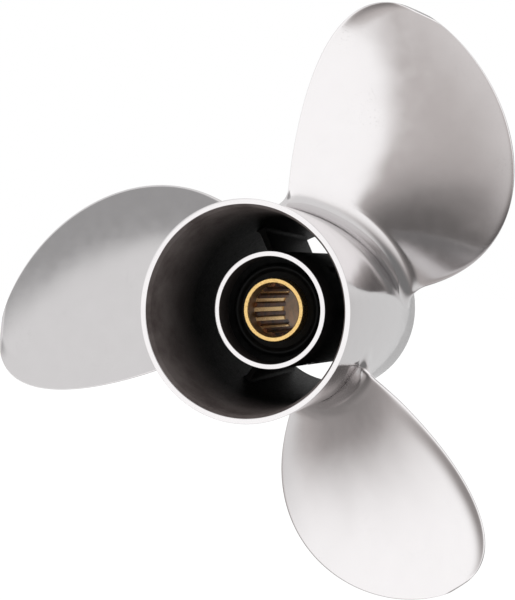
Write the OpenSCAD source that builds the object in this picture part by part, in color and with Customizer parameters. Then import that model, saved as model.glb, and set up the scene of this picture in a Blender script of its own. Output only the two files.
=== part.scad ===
// Three-blade through-hub exhaust propeller for an outboard motor, right hand.
// Millimetres. The shaft axis lies along Y, with the motor towards +Y and the
// open aft rim towards -Y. The origin is on the axis, in the pilot bore.
// A depth is a distance forward from the aft rim, and an angle is counted
// anticlockwise from +X by someone who stands astern and looks forward.

/* [Propeller] */
// Diameter of the circle that the blade tips sweep
prop_d = 340; // [300:2:380]
// Forward travel of the blade face in one turn
pitch = 335; // [280:5:420]

/* [Outer barrel] */
// Outer diameter at the aft rim
barrel_aft_d = 112; // [106:1:120]
// Outer diameter at the forward end
barrel_fwd_d = 93; // [88:1:104]
// Length from the aft rim to the forward end
barrel_len = 145; // [140:1:180]
// Thickness of the barrel wall
barrel_wall = 4; // [3:0.5:6]
// Width of the flat ring on the aft rim
rim_face = 2.7; // [1.5:0.1:3.5]
// Length of the chamfer inside the aft rim
rim_chamfer = 3; // [1:0.5:8]

/* [Inner hub] */
// Outer diameter of the inner hub tube
hub_d = 61; // [56:1:66]
// Thickness of the hub wall
hub_wall = 2.6; // [2:0.1:4]
// Depth of the aft end of the hub
hub_aft = 36; // [28:1:50]
// Gap from the forward end of the hub to the forward end of the barrel
hub_fwd_gap = 4; // [0:1:12]
// Diameter of each round window in the hub wall
window_d = 12; // [6:1:16]
// Distance of the windows from the aft end of the hub
window_inset = 37; // [25:1:45]
// Angle of the first window
window_angle = 40; // [30:1:70]

/* [Ribs] */
// Thickness of a rib
rib_t = 3; // [2:0.5:6]
// Depth of the aft edge of the ribs
rib_aft = 75; // [50:1:90]
// Gap from the forward edge of the ribs to the forward end of the barrel
rib_fwd_gap = 7; // [2:1:20]
// Angle of the first rib
rib_angle = 114; // [95:1:125]

/* [Blades] */
// Angle of the line through the tip of the first blade
tip_angle = 63; // [50:1:75]
// Distance of that line from the forward end of the barrel, on the barrel
tip_line_inset = 70.5; // [50:0.5:75]
// Angle from that line to the leading edge at the root
lead_sweep = 52; // [40:1:58]
// Angle from that line to the trailing edge at the root
trail_sweep = 23; // [15:1:30]
// Aft lean of the blades, in degrees
rake = 5.4; // [0:0.1:15]
// Extra aft lean at the tip
tip_curl = 6; // [0:0.5:10]
// Blade thickness at the root
root_t = 9; // [6:0.5:12]
// Blade thickness near the tip
tip_t = 2.4; // [1.5:0.1:4]
// Thickness of the leading and trailing edges
edge_t = 1.4; // [0.8:0.1:2]
// Radius of the fillet between the blades and the barrel
root_fillet = 12; // [4:1:14]
// Width of the cupped strip along the trailing edge
cup_w = 12; // [6:1:20]
// Height of the cup at the trailing edge
cup_h = 2.4; // [0:0.2:4]

/* [Rubber bushing] */
// Distance of the rubber from the aft end of the hub
rubber_inset = 13; // [8:1:20]
// Distance of the rubber from the forward end of the hub
rubber_fwd_gap = 16; // [12:1:30]
// Width of the raised ring on each end of the rubber
ring_w = 5; // [3:0.5:6]
// Height of the raised ring
ring_h = 2; // [1:0.5:4]
// Running clearance between the rubber and the sleeve, on radius
twist_gap = 0.05; // [0.02:0.01:0.1]

/* [Splined sleeve] */
// Diameter of the plain bore at both ends
bore_d = 28; // [22:0.5:34]
// Thickness of the sleeve wall round the plain bore
sleeve_wall = 2.7; // [2.2:0.1:4]
// How far the sleeve stands out of the rubber at the aft end
sleeve_aft_reach = 7; // [3:1:12]
// How far the sleeve stands out of the rubber at the forward end
sleeve_fwd_reach = 10.4; // [3:0.2:12]
// Number of spline teeth
teeth = 17; // [11:1:21]
// Height of a tooth above the bottom of the spaces
tooth_h = 1.6; // [0.8:0.1:3]
// How much deeper the spaces are than the plain bore, on radius
tooth_relief = 0.3; // [0.1:0.1:0.8]
// Length of the plain bore aft of the teeth
mouth_len = 9; // [3:1:14]
// Length of the wider bore that the spline teeth stand in
spline_len = 44; // [25:1:50]
// Chamfer at the ends of the bore
bore_chamfer = 0.4; // [0.2:0.1:1.5]

/* [Hidden] */
$fn = 96;

BLADES = 3;
BLADE_STEP = 360 / BLADES;
STEEL = "gainsboro";
RUBBER = "dimgray";
BRASS = "goldenrod";

// Edge breaks on the barrel, the hub and the sleeve
EDGE = 0.5;
// How far the blade roots and the teeth reach into the metal they stand on
EMBED = 1;

// Depths along the shaft axis
tip_line_depth = barrel_len - tip_line_inset;
hub_fwd = barrel_len - hub_fwd_gap;
rib_fwd = barrel_len - rib_fwd_gap;
window_depth = hub_aft + window_inset;
rubber_aft = hub_aft + rubber_inset;
rubber_fwd = hub_fwd - rubber_fwd_gap;
sleeve_aft = rubber_aft - sleeve_aft_reach;
sleeve_fwd = rubber_fwd + sleeve_fwd_reach;
spline_aft = sleeve_aft + mouth_len;
spline_fwd = spline_aft + spline_len;
// The origin, halfway along the plain pilot bore forward of the teeth
origin_depth = (spline_fwd + sleeve_fwd - bore_chamfer) / 2;

// Radii about the shaft axis, from the hub inwards
hub_r = hub_d / 2;
rubber_outer = hub_r - hub_wall;
sleeve_r = bore_d / 2 + sleeve_wall;
rubber_inner = sleeve_r + twist_gap;
tooth_root = bore_d / 2 + tooth_relief;
tooth_tip = tooth_root - tooth_h;

// Outer radius of the barrel at a depth
function barrel_r(depth) =
    (barrel_aft_d + (barrel_fwd_d - barrel_aft_d) * depth / barrel_len) / 2;

// A ring about the shaft axis, from a profile of [radius, depth] points
module turned(profile) {
    rotate_extrude() polygon([for (p = profile) [p[0], -p[1]]]);
}

// Turns the working frame, with depth along -Z, into the frame of the part
module installed() {
    translate([0, -origin_depth, 0]) rotate([90, 0, 0]) children();
}

// ---- Blade surface ----

// Reach of a root aft and forward of the tip line, where its radius is taken
ROOT_AFT = 20;
ROOT_FWD = 45;
// Fullness and roundness of the outline on the two sides of the tip line
LEAD_FULL = 2;
LEAD_ROUND = 1.4;
TRAIL_FULL = 1.3;
TRAIL_ROUND = 3;
// How late the thickness, the aft curl and the taper of the seat set in
THICK_POWER = 1.5;
CURL_POWER = 3;
SEAT_POWER = 6;
// How square the edges are, and how near to them the fillet turns outwards
EDGE_POWER = 60;
FLARE_POWER = 6;
// The cup: share of the height it runs over, shift to the tip, and steepness
CUP_SPAN = 0.75;
CUP_SHIFT = 0.6;
CUP_POWER = 2;

tip_r = prop_d / 2;
// Radius at which the blade outline starts, the mean radius of its root
root_r = (barrel_r(tip_line_depth - ROOT_AFT) + barrel_r(tip_line_depth + ROOT_FWD)) / 2;
blade_h = tip_r - root_r;

// Share of the root sweep at s, which runs from 0 at the tip to 1 at the root
function spread(s, full, round) = pow(1 - pow(1 - s, full), 1 / round);

// Rows of the blade from the tip to the top of the fillet, closer at the tip
TIP_CUT = 0.002;
ROWS = 16;
ROW_POWER = 1.6;
fillet_top = 1 - root_fillet / blade_h;
main_rows = [for (i = [0 : ROWS])
    [TIP_CUT + (fillet_top - TIP_CUT) * pow(i / ROWS, ROW_POWER), 0]];
// Rows down the fillet, each a share of the height and an outward offset
FILLET_STEPS = 4;
fillet_rows = [for (k = [1 : FILLET_STEPS]) let (a = 90 * k / FILLET_STEPS)
    [1 - root_fillet * (1 - sin(a)) / blade_h, root_fillet * (1 - cos(a))]];
blade_rows = concat(main_rows, fillet_rows);

// Chord stations from the leading edge, -1, to the trailing edge, 1
CHORDS = 14;
face_v = [for (j = [0 : CHORDS]) -cos(180 * j / CHORDS)];

// Blunt rounding of the edges, 1 over the blade and 0 at its very edge
function blunt(v) = sqrt(max(0, 1 - pow(abs(v), EDGE_POWER)));
// Thickness at mid chord, from the root to the tip
function blade_t(s) = tip_t + (root_t - tip_t) * pow(s, THICK_POWER);
// Height of the cup, which fades out towards the root and the tip
function cup_fade(s) = sin(180 * pow(min(1, s / CUP_SPAN), CUP_SHIFT));
function cup(c, half, s) =
    cup_h * cup_fade(s) * pow(max(0, (c - half + cup_w) / cup_w), CUP_POWER);

// A point of the blade: side is 1 on the back and -1 on the driving face
function blade_point(row, v, side) = let (
    s = row[0],
    flare = row[1],
    r = tip_r - blade_h * s,
    lead = lead_sweep * spread(s, LEAD_FULL, LEAD_ROUND),
    trail = trail_sweep * spread(s, TRAIL_FULL, TRAIL_ROUND),
    helix = atan(pitch / (2 * PI * r)),
    half = (lead + trail) * PI / 360 * r / cos(helix),
    mid = tip_angle + (trail - lead) / 2,
    out = sign(v) * pow(abs(v), FLARE_POWER),
    thick = blade_t(s) - edge_t,
    c = half * v + flare * out,
    skin = side > 0
        ? edge_t / 2 * blunt(v) + thick * (1 - v * v)
        : -edge_t / 2 * blunt(v),
    n = skin + side * flare * sqrt(1 - out * out) - cup(half * v, half, s),
    angle = mid + (c * cos(helix) + n * sin(helix)) / r * 180 / PI,
    lean = tan(rake) * (r - root_r) + tip_curl * pow(1 - s, CURL_POWER),
    depth = tip_line_depth - pitch * (mid - tip_angle) / 360 - lean
        - c * sin(helix) + n * cos(helix),
    sunk = s == 1 ? EMBED : 0,
    reach = r + (barrel_r(depth) - root_r) * pow(s, SEAT_POWER) - sunk
) [reach * cos(angle), reach * sin(angle), -depth];

// One closed loop round the blade: along the face, then back along the back
function blade_loop(row) = concat(
    [for (v = face_v) blade_point(row, v, -1)],
    [for (v = face_v) blade_point(row, -v, 1)]
);

LOOP = 2 * (CHORDS + 1);
last_row = len(blade_rows) - 1;

// Two triangles for a patch of four corners in order
function patch(a, b, c, d) = [[a, b, c], [a, c, d]];

blade_sides = [for (i = [0 : last_row - 1], j = [0 : LOOP - 1])
    let (k = (j + 1) % LOOP)
    each patch(i * LOOP + j, i * LOOP + k, (i + 1) * LOOP + k, (i + 1) * LOOP + j)];
// The ends are closed by rungs from the face to the back
function blade_end(base) = [for (j = [0 : CHORDS - 1])
    each patch(base + j, base + LOOP - 1 - j, base + LOOP - 2 - j, base + j + 1)];
function flipped(faces) = [for (f = faces) [f[2], f[1], f[0]]];

module blade(number) {
    color(STEEL)
    installed()
    rotate([0, 0, BLADE_STEP * (number - 1)])
    polyhedron(
        points = [for (row = blade_rows) each blade_loop(row)],
        faces = concat(blade_sides, blade_end(0), flipped(blade_end(last_row * LOOP)))
    );
}

// ---- Casting ----

// Tapered tube that carries the blades and leads the exhaust aft
module outer_barrel() {
    color(STEEL)
    installed()
    turned([
        [barrel_r(0) - EDGE, 0],
        [barrel_r(0), EDGE],
        [barrel_r(barrel_len), barrel_len - EDGE],
        [barrel_r(barrel_len) - EDGE, barrel_len],
        [barrel_r(barrel_len) - barrel_wall, barrel_len],
        [barrel_r(rim_chamfer) - barrel_wall, rim_chamfer],
        [barrel_r(0) - rim_face, 0]
    ]);
}

// Plain tube that holds the rubber bushing, with round windows in its wall
module inner_hub() {
    inner = hub_r - hub_wall;
    color(STEEL)
    installed()
    difference() {
        turned([
            [inner + EDGE, hub_aft],
            [hub_r - EDGE, hub_aft],
            [hub_r, hub_aft + EDGE],
            [hub_r, hub_fwd - EDGE],
            [hub_r - EDGE, hub_fwd],
            [inner + EDGE, hub_fwd],
            [inner, hub_fwd - EDGE],
            [inner, hub_aft + EDGE]
        ]);
        for (i = [0 : BLADES - 1])
            rotate([0, 0, window_angle + BLADE_STEP * i])
            translate([inner - window_d / 2, 0, -window_depth])
            rotate([0, 90, 0])
            cylinder(h = hub_wall + window_d, d = window_d);
    }
}

// Radial web between the inner hub and the barrel
module rib(number) {
    color(STEEL)
    installed()
    intersection() {
        rotate([0, 0, rib_angle + BLADE_STEP * (number - 1)])
        translate([0, -rib_t / 2, -rib_fwd])
        cube([barrel_r(0), rib_t, rib_fwd - rib_aft]);
        turned([
            [hub_r, rib_aft],
            [barrel_r(rib_aft) - barrel_wall, rib_aft],
            [barrel_r(rib_fwd) - barrel_wall, rib_fwd],
            [hub_r, rib_fwd]
        ]);
    }
}

// ---- Drive ----

// Cushion between the sleeve and the hub, with a raised ring on both ends
module rubber_bushing() {
    middle = (rubber_inner + rubber_outer) / 2;
    foot = ring_w / 2;
    crest = ring_w / 4;
    color(RUBBER)
    installed()
    turned([
        [rubber_inner, rubber_aft],
        [middle - foot, rubber_aft],
        [middle - crest, rubber_aft - ring_h],
        [middle + crest, rubber_aft - ring_h],
        [middle + foot, rubber_aft],
        [rubber_outer, rubber_aft],
        [rubber_outer, rubber_fwd],
        [middle + foot, rubber_fwd],
        [middle + crest, rubber_fwd + ring_h],
        [middle - crest, rubber_fwd + ring_h],
        [middle - foot, rubber_fwd],
        [rubber_inner, rubber_fwd]
    ]);
}

// Width of a tooth at its tip and at its base, as shares of the tooth pitch
TIP_SHARE = 0.4;
BASE_SHARE = 0.6;

// One tooth inside the bore, pointing at the axis, narrower at its tip.
// It stops short of both ends of the wider bore, as a broached tooth does.
module tooth() {
    tooth_pitch = 2 * PI * tooth_root / teeth;
    tip_w = tooth_pitch * TIP_SHARE;
    base_w = tooth_pitch * BASE_SHARE;
    translate([0, 0, EDGE - spline_fwd])
    linear_extrude(spline_len - 2 * EDGE)
    polygon([
        [tooth_tip, -tip_w / 2],
        [tooth_root + EMBED, -base_w / 2],
        [tooth_root + EMBED, base_w / 2],
        [tooth_tip, tip_w / 2]
    ]);
}

// Brass sleeve on the propeller shaft: teeth in the middle, plain at both ends
module splined_sleeve() {
    bore = bore_d / 2;
    color(BRASS)
    installed()
    union() {
        turned([
            [bore + bore_chamfer, sleeve_aft],
            [sleeve_r - EDGE, sleeve_aft],
            [sleeve_r, sleeve_aft + EDGE],
            [sleeve_r, sleeve_fwd - EDGE],
            [sleeve_r - EDGE, sleeve_fwd],
            [bore + bore_chamfer, sleeve_fwd],
            [bore, sleeve_fwd - bore_chamfer],
            [bore, spline_fwd],
            [tooth_root, spline_fwd],
            [tooth_root, spline_aft],
            [bore, spline_aft],
            [bore, sleeve_aft + bore_chamfer]
        ]);
        for (i = [0 : teeth - 1])
            rotate([0, 0, 360 * i / teeth])
            tooth();
    }
}

outer_barrel();
blade(1);  // blade_1
blade(2);  // blade_2
blade(3);  // blade_3
inner_hub();
rib(1);  // rib_1
rib(2);  // rib_2
rib(3);  // rib_3
rubber_bushing();
splined_sleeve();
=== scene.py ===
# %% [markdown]
# # A three-blade boat propeller
# The real object is one stainless casting: a tapered barrel that carries three
# blades, an inner tube held by three ribs, a rubber bushing pressed into that
# tube, and a splined brass sleeve in the rubber. The construction model fixes
# every size. This lesson gives each part its smooth surface and its finish.

# %% Load the construction model
import math

import bpy
import numpy as np
from mathutils import Matrix, Vector


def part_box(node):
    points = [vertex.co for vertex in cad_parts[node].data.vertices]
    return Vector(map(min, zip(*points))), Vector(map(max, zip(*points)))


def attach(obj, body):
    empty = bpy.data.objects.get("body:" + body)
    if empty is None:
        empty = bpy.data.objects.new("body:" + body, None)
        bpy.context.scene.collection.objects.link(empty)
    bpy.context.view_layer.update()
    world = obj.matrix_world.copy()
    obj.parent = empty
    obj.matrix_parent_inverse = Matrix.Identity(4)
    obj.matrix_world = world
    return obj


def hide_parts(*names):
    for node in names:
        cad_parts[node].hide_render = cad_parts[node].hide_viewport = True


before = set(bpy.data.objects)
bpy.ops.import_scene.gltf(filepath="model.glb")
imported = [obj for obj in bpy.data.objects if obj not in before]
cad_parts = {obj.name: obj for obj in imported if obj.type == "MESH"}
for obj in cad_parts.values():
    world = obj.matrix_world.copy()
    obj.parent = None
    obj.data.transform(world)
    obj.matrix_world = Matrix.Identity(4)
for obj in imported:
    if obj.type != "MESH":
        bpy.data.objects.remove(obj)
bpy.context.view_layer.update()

# %% [markdown]
# ## Measures
# Every length is in metres. The shaft lies along Y, with the motor at +Y. The
# construction model counts depth forward from the open aft rim of the barrel,
# so one helper turns a depth into a place along Y. The places come from the
# boxes of the construction parts, and the rest repeats the sizes of its source.

# %% Places read from the construction model
MM = 0.001
barrel_lo, barrel_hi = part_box("outer_barrel")
hub_lo, hub_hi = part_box("inner_hub")
rib_lo, rib_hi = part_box("rib_1")
sleeve_lo, sleeve_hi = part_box("splined_sleeve")
RIM_Y = barrel_lo.y


def at(depth):
    """The place along Y of a depth counted forward from the aft rim."""
    return RIM_Y + depth


def depth_of(y):
    return y - RIM_Y


print("aft rim at y =", round(RIM_Y, 4), " hub depth", round(depth_of(hub_lo.y), 4))

# %% Sizes of the barrel, the hub and the ribs
BARREL_AFT_R = barrel_hi.x
BARREL_FWD_R = 46.5 * MM
BARREL_LEN = barrel_hi.y - barrel_lo.y
BARREL_WALL = 4 * MM
RIM_FACE = 2.7 * MM
RIM_CHAMFER = 3 * MM
HUB_R = hub_hi.x
HUB_WALL = 2.6 * MM
HUB_AFT, HUB_FWD = depth_of(hub_lo.y), depth_of(hub_hi.y)
WINDOW_R = 6 * MM
WINDOW_DEPTH = HUB_AFT + 37 * MM
WINDOW_ANGLE = 40
RIB_ANGLE = 114
RIB_T = 3 * MM
RIB_AFT, RIB_FWD = depth_of(rib_lo.y), depth_of(rib_hi.y)
EDGE = 0.5 * MM
# The small rounding that the turned edges show
FINE_BREAK = 0.22 * MM
BLADES = 3
STEP = 360 / BLADES


def barrel_r(depth):
    """Outer radius of the barrel, which tapers forward."""
    return BARREL_AFT_R + (BARREL_FWD_R - BARREL_AFT_R) * depth / BARREL_LEN


print("barrel", round(BARREL_LEN, 4), "m long, radius", round(BARREL_AFT_R, 4))

# %% [markdown]
# ## Camera
# The view is from astern and a little to the right of the shaft, almost level,
# through a long lens. Three turns place it: round the vertical, up from looking
# straight down, and a very small roll.

# %% Set the camera
CAMERA_PLACE = (0.31861, -0.91115, 0.01438)
CAMERA_AZIMUTH, CAMERA_DIP, CAMERA_ROLL = 21.33, 0.585, -0.23
FOCAL_MM = 103.88

camera_data = bpy.data.cameras.new("studio_camera")
camera_data.sensor_width = 36
camera_data.lens = FOCAL_MM
camera_data.clip_start, camera_data.clip_end = 0.05, 60
camera = bpy.data.objects.new("studio_camera", camera_data)
bpy.context.scene.collection.objects.link(camera)
turn = (
    Matrix.Rotation(math.radians(CAMERA_AZIMUTH), 4, "Z")
    @ Matrix.Rotation(math.radians(90 - CAMERA_DIP), 4, "X")
    @ Matrix.Rotation(math.radians(CAMERA_ROLL), 4, "Z")
)
camera.matrix_world = Matrix.Translation(CAMERA_PLACE) @ turn
bpy.context.scene.camera = camera
bpy.context.scene.view_settings.view_transform = "Standard"
print("camera looks along", tuple(round(-turn[k][2], 3) for k in range(3)))


# %% [markdown]
# ## Helpers for modelling
# Each piece starts from a primitive with nothing else selected, because a fresh
# import leaves its parts selected and an operator acts on all that is selected.
# A turned part is modelled as on a lathe: one circle is extruded and scaled
# from ring to ring along the shaft, and the last ring is bridged to the first.

# %% Small modelling helpers
def start_clean():
    """Leave edit mode and deselect everything."""
    if bpy.context.object and bpy.context.object.mode != "OBJECT":
        bpy.ops.object.mode_set(mode="OBJECT")
    bpy.ops.object.select_all(action="DESELECT")


def adopt(name):
    """Name the new primitive and move its place into its mesh."""
    piece = bpy.context.active_object
    piece.name = piece.data.name = name
    bpy.ops.object.transform_apply(location=True, rotation=True, scale=True)
    return piece


def focus(piece):
    start_clean()
    piece.select_set(True)
    bpy.context.view_layer.objects.active = piece


def bevel_edges(piece, width, angle=30, segments=3):
    """Round every edge sharper than the angle."""
    focus(piece)
    bevel = piece.modifiers.new("edge_break", "BEVEL")
    bevel.width, bevel.segments = width, segments
    bevel.limit_method, bevel.angle_limit = "ANGLE", math.radians(angle)
    bpy.ops.object.modifier_apply(modifier=bevel.name)


def smooth(piece, angle=40):
    focus(piece)
    bpy.ops.object.shade_smooth_by_angle(angle=math.radians(angle))


def report(piece):
    places = np.array([v.co for v in piece.data.vertices])
    low, high = places.min(axis=0).round(4), places.max(axis=0).round(4)
    print(piece.name, len(piece.data.polygons), "faces, from", low, "to", high)


# %% The lathe
def turned(name, rings, sides=192):
    """A closed ring about the shaft from (radius, depth) points of its section."""
    start_clean()
    radius, depth = rings[0]
    bpy.ops.mesh.primitive_circle_add(
        vertices=sides, radius=radius, location=(0, at(depth), 0),
        rotation=(math.radians(90), 0, 0))
    piece = adopt(name)
    bpy.ops.object.mode_set(mode="EDIT")
    bpy.ops.mesh.select_mode(type="EDGE")
    bpy.ops.mesh.select_all(action="SELECT")
    for next_radius, next_depth in rings[1:]:
        bpy.ops.mesh.extrude_region_move(
            TRANSFORM_OT_translate={"value": (0, next_depth - depth, 0)})
        if next_radius != radius:
            grow = next_radius / radius
            bpy.ops.transform.resize(
                value=(grow, 1, grow), center_override=(0, at(next_depth), 0))
        radius, depth = next_radius, next_depth
    bpy.ops.mesh.select_all(action="DESELECT")
    bpy.ops.mesh.select_non_manifold()
    bpy.ops.mesh.bridge_edge_loops()
    bpy.ops.mesh.select_all(action="SELECT")
    bpy.ops.mesh.normals_make_consistent(inside=False)
    bpy.ops.object.mode_set(mode="OBJECT")
    return piece


# %% [markdown]
# ## Finishes
# All finishes are procedural and read Object coordinates, in metres, so a
# pattern keeps its real size on every part. The polished steel is bright, with
# faint polishing marks, a slow hand-ground waviness and small casting pits.

# %% Node helpers
def finish(name, **values):
    """A new material and its node tree, with plain values on the shader."""
    material = bpy.data.materials.new(name)
    material.use_nodes = True
    tree = material.node_tree
    shader = tree.nodes["Principled BSDF"]
    for socket, value in values.items():
        shader.inputs[socket.replace("_", " ")].default_value = value
    return material, tree, shader


def add_node(tree, kind, inputs=None, **settings):
    node = tree.nodes.new(kind)
    for key, value in settings.items():
        setattr(node, key, value)
    for key, value in (inputs or {}).items():
        if isinstance(value, bpy.types.NodeSocket):
            tree.links.new(value, node.inputs[key])
        else:
            node.inputs[key].default_value = value
    return node


def coordinates(tree, stretch=(1, 1, 1)):
    place = add_node(tree, "ShaderNodeTexCoord")
    if tuple(stretch) == (1, 1, 1):
        return place.outputs["Object"]
    return add_node(tree, "ShaderNodeMapping",
                    {"Vector": place.outputs["Object"], "Scale": stretch}).outputs[0]


def noise(tree, where, scale, detail=2.0, rough=0.5):
    return add_node(tree, "ShaderNodeTexNoise",
                    {"Vector": where, "Scale": scale, "Detail": detail,
                     "Roughness": rough}).outputs["Fac"]


def remap(tree, value, low, high, to_low=0.0, to_high=1.0, smoothly=False):
    node = add_node(tree, "ShaderNodeMapRange",
                    interpolation_type="SMOOTHSTEP" if smoothly else "LINEAR")
    tree.links.new(value, node.inputs["Value"])
    for key, number in (("From Min", low), ("From Max", high),
                        ("To Min", to_low), ("To Max", to_high)):
        node.inputs[key].default_value = number
    return node.outputs["Result"]


def math_node(tree, operation, a, b):
    node = add_node(tree, "ShaderNodeMath", operation=operation)
    for socket, value in zip(node.inputs, (a, b)):
        if isinstance(value, bpy.types.NodeSocket):
            tree.links.new(value, socket)
        else:
            socket.default_value = value
    return node.outputs[0]


def blend_colours(tree, factor, a, b):
    node = add_node(tree, "ShaderNodeMix", data_type="RGBA")
    for key, value in (("Factor", factor), ("A", a), ("B", b)):
        socket = next(s for s in node.inputs
                      if s.name == key and s.type in ("VALUE", "RGBA") and s.enabled)
        if isinstance(value, bpy.types.NodeSocket):
            tree.links.new(value, socket)
        else:
            socket.default_value = value
    return next(s for s in node.outputs if s.enabled)


def bumps(tree, shader, layers):
    """Stack bump layers of (height, depth in metres) on the shader's normal."""
    normal = None
    for height, distance in layers:
        node = add_node(tree, "ShaderNodeBump",
                        {"Height": height, "Distance": distance, "Strength": 1.0})
        if normal:
            tree.links.new(normal, node.inputs["Normal"])
        normal = node.outputs["Normal"]
    tree.links.new(normal, shader.inputs["Normal"])


# %% Polished stainless steel
def polished_steel():
    material, tree, shader = finish("polished_steel", Metallic=1.0)
    where = coordinates(tree)
    slow = noise(tree, where, 26, 1.0)
    haze = noise(tree, where, 120, 3.0)
    fine = noise(tree, coordinates(tree, (1.0, 0.25, 1.0)), 2600, 2.0)
    spots = add_node(tree, "ShaderNodeTexVoronoi", {"Vector": where, "Scale": 650.0})
    patches = noise(tree, where, 45, 3.0)
    pit = math_node(tree, "MULTIPLY",
                    remap(tree, spots.outputs["Distance"], 0.06, 0.20, 1.0, 0.0),
                    remap(tree, patches, 0.50, 0.70))
    bright = blend_colours(tree, haze, (0.790, 0.768, 0.772, 1), (0.842, 0.820, 0.824, 1))
    colour = blend_colours(tree, pit, bright, (0.60, 0.585, 0.585, 1))
    tree.links.new(colour, shader.inputs["Base Color"])
    tree.links.new(remap(tree, haze, 0.3, 0.7, 0.10, 0.16), shader.inputs["Roughness"])
    bumps(tree, shader, [(slow, 0.0004), (fine, 0.000005), (pit, -0.00002)])
    return material


# %% Dull cast steel for the exhaust passage, with painted shade that darkens it the deeper it lies
def cast_steel():
    material, tree, shader = finish("cast_steel", Specular_IOR_Level=0.14)
    where = coordinates(tree)
    grain = noise(tree, where, 900, 4.0, 0.6)
    stain = noise(tree, where, 60, 4.0, 0.6)
    along = add_node(tree, "ShaderNodeSeparateXYZ", {"Vector": where}).outputs["Y"]
    # Painted shade: the colour runs to near black over the first 60 mm forward of the aft
    # rim, standing in for the shade deep in the passage
    painted_depth_shade = remap(tree, along, at(0), at(60 * MM), smoothly=True)
    depth_shade_and_stain = math_node(tree, "ADD", painted_depth_shade, remap(tree, stain, 0.3, 0.7, -0.10, 0.10))
    bare = blend_colours(tree, remap(tree, stain, 0.35, 0.65),
                         (0.110, 0.090, 0.086, 1), (0.220, 0.190, 0.182, 1))
    # The near-black colour is painted shade deep in the passage, with random stain along
    # its edge
    colour = blend_colours(tree, remap(tree, depth_shade_and_stain, 0.0, 1.0), bare,
                           (0.0035, 0.003, 0.0028, 1))
    tree.links.new(colour, shader.inputs["Base Color"])
    tree.links.new(remap(tree, grain, 0.3, 0.7, 0.50, 0.68), shader.inputs["Roughness"])
    bumps(tree, shader, [(grain, 0.00010), (stain, 0.00025)])
    return material


# %% Black rubber
def black_rubber():
    material, tree, shader = finish("black_rubber", Specular_IOR_Level=0.14)
    where = coordinates(tree)
    dust = noise(tree, where, 240, 4.0, 0.6)
    grain = noise(tree, where, 1800, 2.0)
    colour = blend_colours(tree, remap(tree, dust, 0.45, 0.8),
                           (0.003, 0.003, 0.003, 1), (0.009, 0.0085, 0.008, 1))
    tree.links.new(colour, shader.inputs["Base Color"])
    tree.links.new(remap(tree, dust, 0.3, 0.7, 0.42, 0.62), shader.inputs["Roughness"])
    bumps(tree, shader, [(grain, 0.00004)])
    return material


# %% Brass, bright on its turned face and stained inside the bore
def brass():
    material, tree, shader = finish("brass", Metallic=1.0)
    where = coordinates(tree)
    speck = noise(tree, where, 1400, 3.0, 0.6)
    stain = noise(tree, where, 130, 4.0, 0.6)
    split = add_node(tree, "ShaderNodeSeparateXYZ", {"Vector": where})
    square = [math_node(tree, "MULTIPLY", split.outputs[k], split.outputs[k])
              for k in ("X", "Z")]
    radius = math_node(tree, "SQRT", math_node(tree, "ADD", *square), 0.0)
    inside = remap(tree, radius, 14.15 * MM, 13.95 * MM)
    face = blend_colours(tree, remap(tree, speck, 0.45, 0.75),
                         (0.88, 0.60, 0.24, 1), (0.62, 0.40, 0.15, 1))
    bore = blend_colours(tree, remap(tree, stain, 0.4, 0.6),
                         (0.29, 0.105, 0.036, 1), (0.075, 0.031, 0.017, 1))
    tree.links.new(blend_colours(tree, inside, face, bore), shader.inputs["Base Color"])
    rough = math_node(tree, "ADD", remap(tree, speck, 0.3, 0.7, 0.22, 0.36),
                      math_node(tree, "MULTIPLY", inside, 0.16))
    tree.links.new(rough, shader.inputs["Roughness"])
    # The brown stain in the bore hides most of the metal
    tree.links.new(remap(tree, inside, 0, 1, 1.0, 0.4), shader.inputs["Metallic"])
    bumps(tree, shader, [(speck, 0.00003)])
    return material


STEEL, CAST, RUBBER, BRASS = polished_steel(), cast_steel(), black_rubber(), brass()
print("finishes:", [m.name for m in (STEEL, CAST, RUBBER, BRASS)])

# %% [markdown]
# ## Outer barrel
# A tapered tube with a flat ring on its aft rim. The outside is polished with
# the blades, and the exhaust passage inside keeps its dull cast skin, with
# painted shade deeper in, so the faces that look at the shaft get the second finish.

# %% Turn the barrel
inner_wall = [(barrel_r(d) - BARREL_WALL, d) for d in (RIM_CHAMFER, BARREL_LEN)]
barrel = turned("outer_barrel_visual", [
    (BARREL_AFT_R, 0.0),
    (BARREL_AFT_R - RIM_FACE, 0.0),
    inner_wall[0],
    inner_wall[1],
    (barrel_r(BARREL_LEN), BARREL_LEN),
], sides=256)
bevel_edges(barrel, FINE_BREAK, angle=20)
smooth(barrel, 30)
barrel.data.materials.append(STEEL)
barrel.data.materials.append(CAST)
for face in barrel.data.polygons:
    outward = face.center.x * face.normal.x + face.center.z * face.normal.z
    face.material_index = int(outward < 0 and depth_of(face.center.y) > EDGE)
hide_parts("outer_barrel")
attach(barrel, "propeller")
report(barrel)

# %% [markdown]
# ## Blades
# A blade is a twisted sheet: it follows a helix, leans aft, thins towards the
# tip, curls into a small cup along its trailing edge and swells into a fillet
# where it meets the barrel. No modifier makes such a surface, so a flat grid is
# the blank: its columns run round the section, its rows run from the tip to the
# root, and each vertex is sent to its place on the same formula that the
# construction model uses, only with many more rows and columns.

# %% Sizes of a blade
# A hair inside the 170 mm circle, so the outline stays within the facets
TIP_R = 169.7 * MM
PITCH = 335 * MM
TIP_ANGLE = 63
TIP_LINE = 74.5 * MM
LEAD_SWEEP, TRAIL_SWEEP = 52, 23
RAKE = math.radians(5.4)
TIP_CURL = 6 * MM
ROOT_T, TIP_T, EDGE_T = 9 * MM, 2.4 * MM, 1.4 * MM
ROOT_FILLET = 12 * MM
CUP_W, CUP_H = 12 * MM, 2.4 * MM
LEAD_FULL, LEAD_ROUND, TRAIL_FULL, TRAIL_ROUND = 2, 1.4, 1.3, 3
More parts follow.
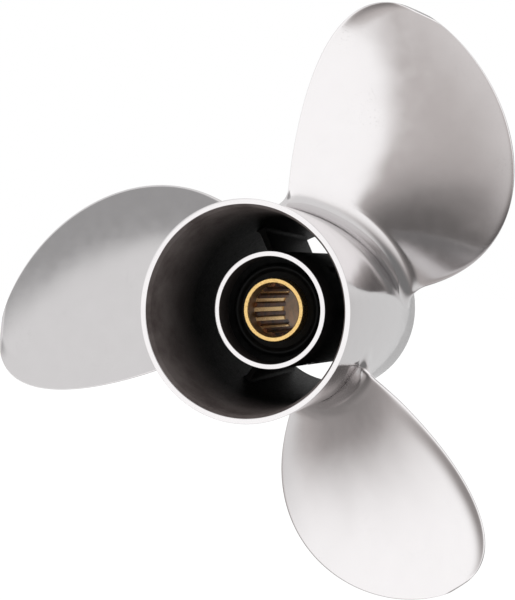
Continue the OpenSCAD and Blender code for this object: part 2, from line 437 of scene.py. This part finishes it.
# How late the thickness, the aft curl and the taper of the seat set in
THICK_POWER, CURL_POWER, SEAT_POWER = 1.5, 3, 6
# How square the edges are, and how near to them the fillet turns outwards
EDGE_POWER, FLARE_POWER = 60, 6
# The cup: share of the height it runs over, shift to the tip, and steepness
CUP_SPAN, CUP_SHIFT, CUP_POWER = 0.75, 0.6, 2
EMBED = 1 * MM
# Shares of the height left out at the tip, and over which the tip is rounded
TIP_CUT, TIP_ROUND = 0.002, 0.012
ROOT_AFT, ROOT_FWD = 20 * MM, 45 * MM
ROOT_R = (barrel_r(TIP_LINE - ROOT_AFT) + barrel_r(TIP_LINE + ROOT_FWD)) / 2
BLADE_H = TIP_R - ROOT_R
print("blade height", round(BLADE_H, 4), "m above radius", round(ROOT_R, 4))

# %% Rows from the tip to the root, and stations round the section
ROWS, FILLET_ROWS, CHORDS = 72, 16, 64
ROW_POWER = 1.6
FILLET_TOP = 1 - ROOT_FILLET / BLADE_H
rows = [(TIP_CUT + (FILLET_TOP - TIP_CUT) * (i / ROWS) ** ROW_POWER, 0.0, 0.0, 1.0)
        for i in range(ROWS + 1)]
for k in range(1, FILLET_ROWS + 1):
    a = math.pi / 2 * k / FILLET_ROWS
    rows.append((1 - ROOT_FILLET * (1 - math.sin(a)) / BLADE_H,
                 ROOT_FILLET * (1 - math.cos(a)), 0.0, 1.0))
rows.append((1.0, ROOT_FILLET, EMBED, 1.0))
rows.append((1.0, 0.0, EMBED, 0.0))
stations = [(-math.cos(math.pi * j / CHORDS), -1) for j in range(CHORDS + 1)]
stations += [(math.cos(math.pi * j / CHORDS), 1) for j in range(CHORDS + 1)]
print(len(rows), "rows of", len(stations), "stations")


# %% The blade formula
def spread(s, full, roundness):
    return (1 - (1 - s) ** full) ** (1 / roundness)


def blade_points():
    """An array of points [row, station, xyz] of the first blade."""
    s, flare, sunk, body = (np.array([r[k] for r in rows])[:, None] for k in range(4))
    v, side = (np.array([p[k] for p in stations])[None, :] for k in range(2))
    r = TIP_R - BLADE_H * s
    lead = LEAD_SWEEP * spread(s, LEAD_FULL, LEAD_ROUND)
    trail = TRAIL_SWEEP * spread(s, TRAIL_FULL, TRAIL_ROUND)
    helix = np.arctan(PITCH / (2 * math.pi * r))
    half = np.radians(lead + trail) / 2 * r / np.cos(helix)
    mid = np.radians(TIP_ANGLE + (trail - lead) / 2)
    out = np.sign(v) * np.abs(v) ** FLARE_POWER
    rounding = np.sqrt(1 - np.clip(1 - (s - TIP_CUT) / TIP_ROUND, 0, 1) ** 2) * body
    blunt = np.sqrt(np.clip(1 - np.abs(v) ** EDGE_POWER, 0, 1))
    thick = TIP_T + (ROOT_T - TIP_T) * s ** THICK_POWER - EDGE_T
    c = half * v + flare * out
    skin = rounding * (side * EDGE_T / 2 * blunt + (side > 0) * thick * (1 - v * v))
    cup_fade = np.sin(math.pi * np.minimum(1, s / CUP_SPAN) ** CUP_SHIFT)
    cup_share = np.clip((half * (v - 1) + CUP_W) / CUP_W, 0, None)
    cup = CUP_H * cup_fade * cup_share ** CUP_POWER
    n = skin + side * flare * np.sqrt(1 - out * out) - cup
    angle = mid + (c * np.cos(helix) + n * np.sin(helix)) / r
    lean = np.tan(RAKE) * (r - ROOT_R) + TIP_CURL * (1 - s) ** CURL_POWER
    depth = (TIP_LINE - PITCH * (mid - math.radians(TIP_ANGLE)) / (2 * math.pi)
             - lean - c * np.sin(helix) + n * np.cos(helix))
    reach = r + (barrel_r(depth) - ROOT_R) * s ** SEAT_POWER - sunk
    return np.stack([reach * np.cos(angle), at(depth), reach * np.sin(angle)], axis=-1)


# %% Bend the flat grid into the first blade
def model_blade(name):
    columns = len(stations)
    start_clean()
    bpy.ops.mesh.primitive_grid_add(
        x_subdivisions=columns, y_subdivisions=len(rows) - 1, size=2)
    blade = adopt(name)
    points = blade_points()
    for vertex in blade.data.vertices:
        column = round((vertex.co.x + 1) / 2 * columns) % columns
        row = round((vertex.co.y + 1) / 2 * (len(rows) - 1))
        vertex.co = points[row, column]
    focus(blade)
    bpy.ops.object.mode_set(mode="EDIT")
    bpy.ops.mesh.select_all(action="SELECT")
    bpy.ops.mesh.remove_doubles(threshold=0.000004)
    bpy.ops.mesh.normals_make_consistent(inside=False)
    bpy.ops.object.mode_set(mode="OBJECT")
    smooth(blade, 60)
    blade.data.materials.append(STEEL)
    return blade


blades = [model_blade("blade_1_visual")]
report(blades[0])

# %% Copy the blade twice round the shaft
for number in range(2, BLADES + 1):
    start_clean()
    copy = blades[0].copy()
    copy.data = blades[0].data.copy()
    copy.name = copy.data.name = f"blade_{number}_visual"
    bpy.context.scene.collection.objects.link(copy)
    # Seen from astern the blades follow each other anticlockwise
    copy.data.transform(Matrix.Rotation(-math.radians(STEP * (number - 1)), 4, "Y"))
    blades.append(copy)
for number, blade in enumerate(blades, start=1):
    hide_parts(f"blade_{number}")
    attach(blade, "propeller")
    report(blade)

# %% [markdown]
# ## Inner hub
# The tube that holds the rubber. Its aft end is turned bright, and three round
# windows in its wall let the exhaust pass.

# %% Turn the hub and cut its windows
hub = turned("inner_hub_visual", [
    (HUB_R, HUB_AFT),
    (HUB_R - HUB_WALL, HUB_AFT),
    (HUB_R - HUB_WALL, HUB_FWD),
    (HUB_R, HUB_FWD),
], sides=192)
bevel_edges(hub, FINE_BREAK)
for k in range(BLADES):
    spin = math.radians(WINDOW_ANGLE + STEP * k)
    outward = Vector((math.cos(spin), 0, math.sin(spin)))
    start_clean()
    bpy.ops.mesh.primitive_cylinder_add(
        vertices=64, radius=WINDOW_R, depth=4 * HUB_WALL,
        location=outward * (HUB_R - HUB_WALL / 2) + Vector((0, at(WINDOW_DEPTH), 0)),
        rotation=outward.to_track_quat("Z", "Y").to_euler())
    cutter = adopt(f"window_cutter_{k}")
    focus(hub)
    cut = hub.modifiers.new("window", "BOOLEAN")
    cut.operation, cut.object, cut.solver = "DIFFERENCE", cutter, "EXACT"
    bpy.ops.object.modifier_apply(modifier=cut.name)
    bpy.data.objects.remove(cutter)
smooth(hub, 30)
print("windows at", [WINDOW_ANGLE + STEP * k for k in range(BLADES)], "degrees")
hub.data.materials.append(CAST)
hub.data.materials.append(STEEL)
for face in hub.data.polygons:
    # The aft end and the walls of the windows are bare bright metal
    bright_end = depth_of(face.center.y) < HUB_AFT + 0.4 * EDGE
    outward = Vector((face.center.x, 0, face.center.z)).normalized()
    in_window = (abs(face.normal.dot(outward)) < 0.5
                 and abs(depth_of(face.center.y) - WINDOW_DEPTH) < WINDOW_R + EDGE)
    face.material_index = int(bright_end or in_window)
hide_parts("inner_hub")
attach(hub, "propeller")
report(hub)

# %% [markdown]
# ## Ribs
# Three radial webs hold the hub in the barrel. As cast, each flares into a
# small fillet at both ends, so the web is extruded outwards from the hub in
# steps whose thickness follows the fillets.

# %% Model one rib and copy it
RIB_FILLET = 3 * MM
RIB_STEPS = 8
RIB_SINK = 0.3 * MM


def rib_thickness(x, length):
    gap = min(x, length - x)
    if gap >= RIB_FILLET:
        return RIB_T
    return RIB_T + 2 * (RIB_FILLET - math.sqrt(RIB_FILLET**2 - (RIB_FILLET - gap) ** 2))


def model_rib(name, angle):
    length = barrel_r(RIB_AFT) - BARREL_WALL - HUB_R + 2 * RIB_SINK
    inner_steps = [RIB_FILLET * (1 - math.cos(math.pi * i / 2 / RIB_STEPS))
                   for i in range(RIB_STEPS + 1)]
    places = inner_steps + [length - x for x in reversed(inner_steps)]
    start_clean()
    bpy.ops.mesh.primitive_plane_add(
        size=1, location=(HUB_R - RIB_SINK, at((RIB_AFT + RIB_FWD) / 2), 0),
        rotation=(0, math.radians(90), 0))
    rib = adopt(name)
    for vertex in rib.data.vertices:
        vertex.co.y = at(RIB_AFT if vertex.co.y < at((RIB_AFT + RIB_FWD) / 2) else RIB_FWD)
        vertex.co.z = math.copysign(rib_thickness(0, length) / 2, vertex.co.z)
    bpy.ops.object.mode_set(mode="EDIT")
    bpy.ops.mesh.select_all(action="SELECT")
    for was, now in zip(places, places[1:]):
        bpy.ops.mesh.extrude_region_move(
            TRANSFORM_OT_translate={"value": (now - was, 0, 0)})
        thinner = rib_thickness(now, length) / rib_thickness(was, length)
        bpy.ops.transform.resize(value=(1, 1, thinner), center_override=(0, 0, 0))
    bpy.ops.object.mode_set(mode="OBJECT")
    # The outer end follows the taper of the barrel
    for vertex in rib.data.vertices:
        share = (vertex.co.x - HUB_R + RIB_SINK) / length
        taper = barrel_r(depth_of(vertex.co.y)) - barrel_r(RIB_AFT)
        vertex.co.x += taper * share
    focus(rib)
    bpy.ops.object.mode_set(mode="EDIT")
    bpy.ops.mesh.select_all(action="SELECT")
    bpy.ops.mesh.normals_make_consistent(inside=False)
    bpy.ops.object.mode_set(mode="OBJECT")
    bevel_edges(rib, 0.8 * MM, angle=60)
    smooth(rib, 40)
    rib.data.transform(Matrix.Rotation(-math.radians(angle), 4, "Y"))
    rib.data.materials.append(CAST)
    return rib


for number in range(1, BLADES + 1):
    rib = model_rib(f"rib_{number}_visual", RIB_ANGLE + STEP * (number - 1))
    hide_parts(f"rib_{number}")
    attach(rib, "propeller")
    report(rib)

# %% [markdown]
# ## Rubber bushing
# The cushion is moulded between the sleeve and the hub, with a raised round
# ring on both ends.

# %% Turn the rubber
RUBBER_AFT, RUBBER_FWD = 49 * MM, 125 * MM
RUBBER_IN = 16.75 * MM
RING_STEPS = 14
RUBBER_OUT = HUB_R - HUB_WALL
RING_R, RING_W, RING_H = (RUBBER_IN + RUBBER_OUT) / 2, 5 * MM, 2 * MM


def ring_profile(depth, way):
    """The raised ring as a half wave from one foot to the other."""
    for i in range(RING_STEPS + 1):
        x = i / RING_STEPS
        yield (RING_R + RING_W * (x - 0.5) * way,
               depth - way * RING_H * math.sin(math.pi * x) ** 1.5)


rubber = turned("rubber_bushing_visual", [
    (RUBBER_IN, RUBBER_AFT),
    *ring_profile(RUBBER_AFT, 1),
    (RUBBER_OUT, RUBBER_AFT),
    (RUBBER_OUT, RUBBER_FWD),
    *ring_profile(RUBBER_FWD, -1),
    (RUBBER_IN, RUBBER_FWD),
], sides=128)
smooth(rubber, 40)
rubber.data.materials.append(RUBBER)
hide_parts("rubber_bushing")
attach(rubber, "propeller")
report(rubber)

# %% [markdown]
# ## Splined sleeve
# The brass sleeve slides on the propeller shaft. Its teeth stand in a slightly
# wider stretch of the bore. The sleeve is turned with twenty sides to a tooth,
# and the rings of the toothed stretch are then pressed into the tooth shape.

# %% Turn the sleeve
TEETH, TOOTH_SIDES = 17, 20
SLEEVE_R = sleeve_hi.x
SLEEVE_AFT, SLEEVE_FWD = depth_of(sleeve_lo.y), depth_of(sleeve_hi.y)
BORE_R, TOOTH_ROOT_R, TOOTH_TIP_R = 14 * MM, 14.3 * MM, 12.7 * MM
SPLINE_AFT, SPLINE_FWD = SLEEVE_AFT + 9 * MM, SLEEVE_AFT + 53 * MM
BORE_CHAMFER = 0.4 * MM
# Width of a tooth at its tip and its base, as shares of the tooth pitch
TIP_SHARE, BASE_SHARE = 0.4, 0.6
sleeve = turned("splined_sleeve_visual", [
    (BORE_R + BORE_CHAMFER, SLEEVE_AFT),
    (SLEEVE_R - EDGE, SLEEVE_AFT),
    (SLEEVE_R, SLEEVE_AFT + EDGE),
    (SLEEVE_R, SLEEVE_FWD - EDGE),
    (SLEEVE_R - EDGE, SLEEVE_FWD),
    (BORE_R + BORE_CHAMFER, SLEEVE_FWD),
    (BORE_R, SLEEVE_FWD - BORE_CHAMFER),
    (BORE_R, SPLINE_FWD),
    (TOOTH_ROOT_R, SPLINE_FWD),
    (TOOTH_ROOT_R, SPLINE_FWD - EDGE),
    (TOOTH_TIP_R, SPLINE_FWD - EDGE * 1.001),
    (TOOTH_TIP_R, SPLINE_AFT + EDGE * 1.001),
    (TOOTH_ROOT_R, SPLINE_AFT + EDGE),
    (TOOTH_ROOT_R, SPLINE_AFT),
    (BORE_R, SPLINE_AFT),
    (BORE_R, SLEEVE_AFT + BORE_CHAMFER),
], sides=TEETH * TOOTH_SIDES)


def tooth_share(u):
    """1 on a tooth and 0 between teeth, for u from 0 to 1 round one tooth."""
    return min(1, max(0, (BASE_SHARE / 2 - abs(u - 0.5)) / ((BASE_SHARE - TIP_SHARE) / 2)))


for vertex in sleeve.data.vertices:
    radius = math.hypot(vertex.co.x, vertex.co.z)
    if radius < TOOTH_TIP_R + 0.1 * MM:
        u = math.atan2(vertex.co.z, vertex.co.x) / (2 * math.pi) * TEETH + 0.5
        grow = (TOOTH_ROOT_R + (TOOTH_TIP_R - TOOTH_ROOT_R) * tooth_share(u % 1)) / radius
        vertex.co.x *= grow
        vertex.co.z *= grow
focus(sleeve)
bpy.ops.object.mode_set(mode="EDIT")
bpy.ops.mesh.select_all(action="SELECT")
bpy.ops.mesh.remove_doubles(threshold=0.000005)
bpy.ops.mesh.normals_make_consistent(inside=False)
bpy.ops.object.mode_set(mode="OBJECT")
smooth(sleeve, 30)
sleeve.data.materials.append(BRASS)
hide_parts("splined_sleeve")
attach(sleeve, "drive")
report(sleeve)

# %% [markdown]
# ## Studio
# Polished steel shows the room more than itself. The room is a pale studio: a
# bright sweep in front and low, a darker ground straight below, and softer
# greys above and to the left. It is drawn by direction, as broad soft glows
# over a plain gradient. The lens sees plain white behind the object.

# %% The room by direction
def direction(azimuth, elevation):
    """Azimuth 0 is straight astern and grows to the right."""
    a, e = math.radians(azimuth), math.radians(elevation)
    return (math.sin(a) * math.cos(e), -math.cos(a) * math.cos(e), math.sin(e))


# The ground by elevation, in front and at the sides
GROUND_FRONT = [(-90, 0.50), (-78, 0.40), (-66, 0.12), (-56, 0.15), (-50, 0.24),
                (-45, 0.40), (-40, 0.52), (-34, 0.56), (-20, 0.50), (0, 0.45), (90, 0.45)]
GROUND_SIDE = [(-90, 0.50), (-78, 0.40), (-62, 0.20), (-30, 0.24), (-10, 0.32),
               (5, 0.46), (25, 0.75), (90, 0.70)]
WARM = (1.03, 0.97, 0.95)
WHITE, GAP, SOFTBOX = 1.15, 0.36, 0.77
world = bpy.data.worlds.new("studio")
bpy.context.scene.world = world
world.use_nodes = True
room = world.node_tree
ray = add_node(room, "ShaderNodeTexCoord").outputs["Generated"]
height = add_node(room, "ShaderNodeSeparateXYZ", {"Vector": ray}).outputs["Z"]


def level_ramp(levels):
    """A ramp of grey levels by elevation."""
    ramp = add_node(room, "ShaderNodeValToRGB", {"Fac": remap(room, height, -1, 1)})
    ramp.color_ramp.interpolation = "EASE"
    stops = ramp.color_ramp.elements
    while len(stops) < len(levels):
        stops.new(0.5)
    for stop, (elevation, level) in zip(stops, levels):
        stop.position = (math.sin(math.radians(elevation)) + 1) / 2
        stop.color = (*(level * part for part in WARM), 1)
    return ramp.outputs["Color"]


def share_towards(azimuth, elevation, near, far):
    """1 within the near angle of a direction, falling to 0 at the far angle."""
    towards = add_node(room, "ShaderNodeVectorMath",
                       {0: ray, 1: direction(azimuth, elevation)},
                       operation="DOT_PRODUCT").outputs["Value"]
    return remap(room, towards, math.cos(math.radians(far)),
                 math.cos(math.radians(near)), smoothly=True)


def share_past(azimuth, elevation, soft, offset=0):
    """1 on the side of a straight edge that faces this direction, 0 beyond it."""
    towards = add_node(room, "ShaderNodeVectorMath",
                       {0: ray, 1: direction(azimuth, elevation)},
                       operation="DOT_PRODUCT").outputs["Value"]
    return remap(room, towards, math.sin(math.radians(offset - soft)),
                 math.sin(math.radians(offset + soft)), smoothly=True)


def both(a, b):
    return math_node(room, "MULTIPLY", a, b)


def paint(colour, share, level):
    return blend_colours(room, share, colour, (level, level, level, 1))


colour = blend_colours(room, share_towards(0, -20, 55, 95),
                       level_ramp(GROUND_SIDE), level_ramp(GROUND_FRONT))
# The white sheet in front: cut by its slanted lower edge, fading to the sides
sheet = both(share_past(72, 46, 3), share_towards(-2, -5, 56, 92))
colour = paint(colour, sheet, WHITE)
colour = paint(colour, share_towards(-38, -4, 20, 54), WHITE)
# Darker walls at the right, and a lighter one behind
colour = paint(colour, share_towards(115, -18, 14, 34), 0.20)
colour = paint(colour, share_towards(178, -10, 18, 46), 0.66)
colour = paint(colour, share_towards(130, -70, 12, 24), 0.72)
# The dark gap in the light where the camera stands
colour = paint(colour, share_towards(20, 27, 19, 33), GAP)
# The softbox overhead, with a straight slanted edge, and its glow on the right
box = both(share_past(-125, 32, 4), share_past(0, 90, 5, 7))
colour = paint(colour, box, SOFTBOX)
colour = paint(colour, share_towards(95, 35, 20, 45), SOFTBOX)
seen = add_node(room, "ShaderNodeLightPath").outputs["Is Camera Ray"]
colour = blend_colours(room, seen, colour, (1, 1, 1, 1))
background = room.nodes["Background"]
room.links.new(colour, background.inputs["Color"])
background.inputs["Strength"].default_value = 1.0
print("room levels:", WHITE, GAP, SOFTBOX)

# %% Pale floor, just below the circle that the turning blades sweep
FLOOR_Z = -TIP_R - 1 * MM
start_clean()
bpy.ops.mesh.primitive_plane_add(size=30, location=(0, 0, FLOOR_Z))
floor = adopt("studio_floor")
floor_finish, tree, shader = finish("pale_floor", Base_Color=(0.85, 0.85, 0.85, 1),
                                    Roughness=0.9, Specular_IOR_Level=0.0)
glow = add_node(tree, "ShaderNodeEmission", {"Color": (1, 1, 1, 1), "Strength": 1.25})
seen = add_node(tree, "ShaderNodeLightPath").outputs["Is Camera Ray"]
mixed = add_node(tree, "ShaderNodeMixShader",
                 {0: math_node(tree, "MULTIPLY", seen, 0.7)})
tree.links.new(shader.outputs[0], mixed.inputs[1])
tree.links.new(glow.outputs[0], mixed.inputs[2])
tree.links.new(mixed.outputs[0], tree.nodes["Material Output"].inputs["Surface"])
floor.data.materials.append(floor_finish)
floor.visible_glossy = False
print("floor at z =", round(FLOOR_Z, 4))

# %% Leave edit mode and deselect everything
start_clean()
